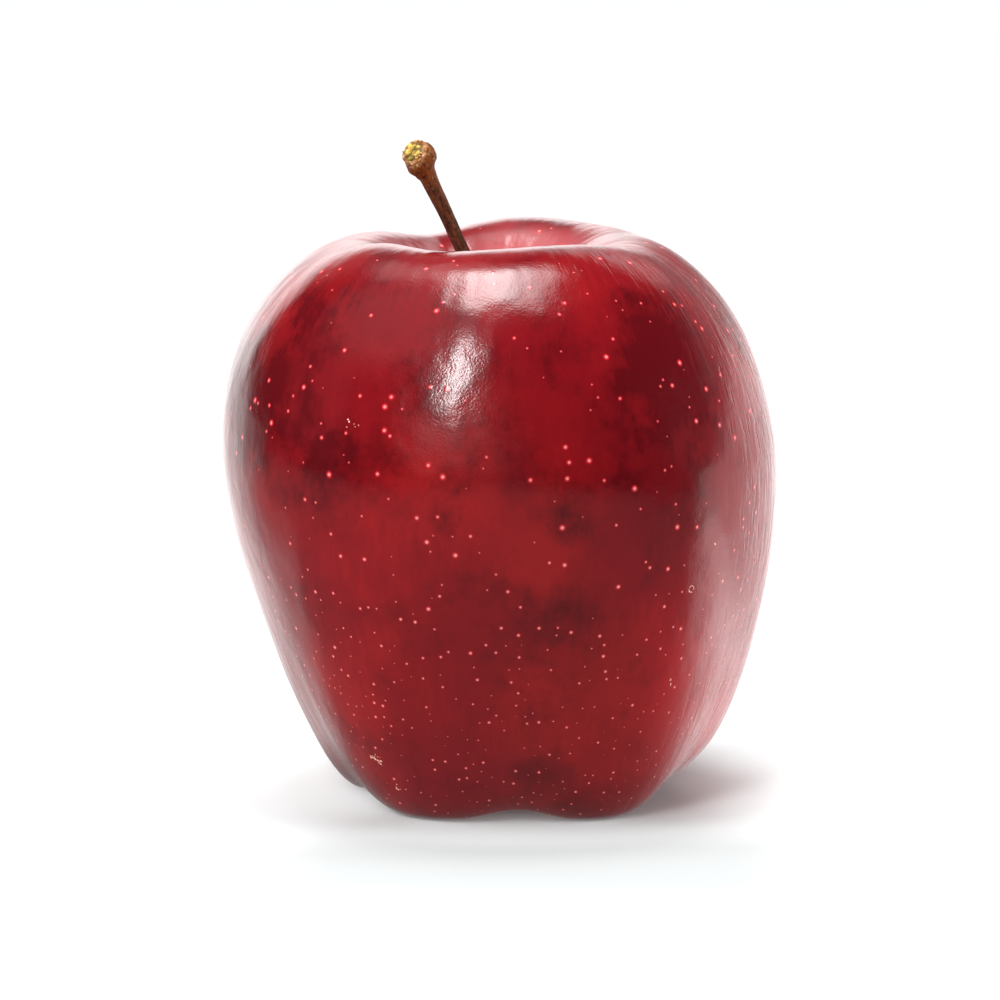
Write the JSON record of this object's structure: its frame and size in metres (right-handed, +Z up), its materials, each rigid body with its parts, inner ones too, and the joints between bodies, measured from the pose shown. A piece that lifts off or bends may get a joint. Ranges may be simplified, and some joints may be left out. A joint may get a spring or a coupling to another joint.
{
  "type": "red apple",
  "caption": "Whole red apple, tall and tapered, with a lobed crown, a woody knobbed stem and a dried calyx, standing on its crown lobes.",
  "frame": {"origin": "on the surface that the apple stands on, under the middle of the fruit's box", "axes": "+Z up along the core towards the stem, which leans towards -X; -Y is the side that is seen from the front"},
  "size_m": [0.076, 0.0758, 0.0899],
  "materials": {
    "skin": "waxy crimson skin, glossy, mottled, with fine pale dots",
    "bark": "dark brown bark, matt, with a pale corky scar on the knob",
    "dried_flower": "dry grey-brown sepals and stamens, matt"
  },
  "bodies": {
    "root": {"fruit": "skin", "stem": "bark", "calyx": "dried_flower"}
  },
  "joints": []
}
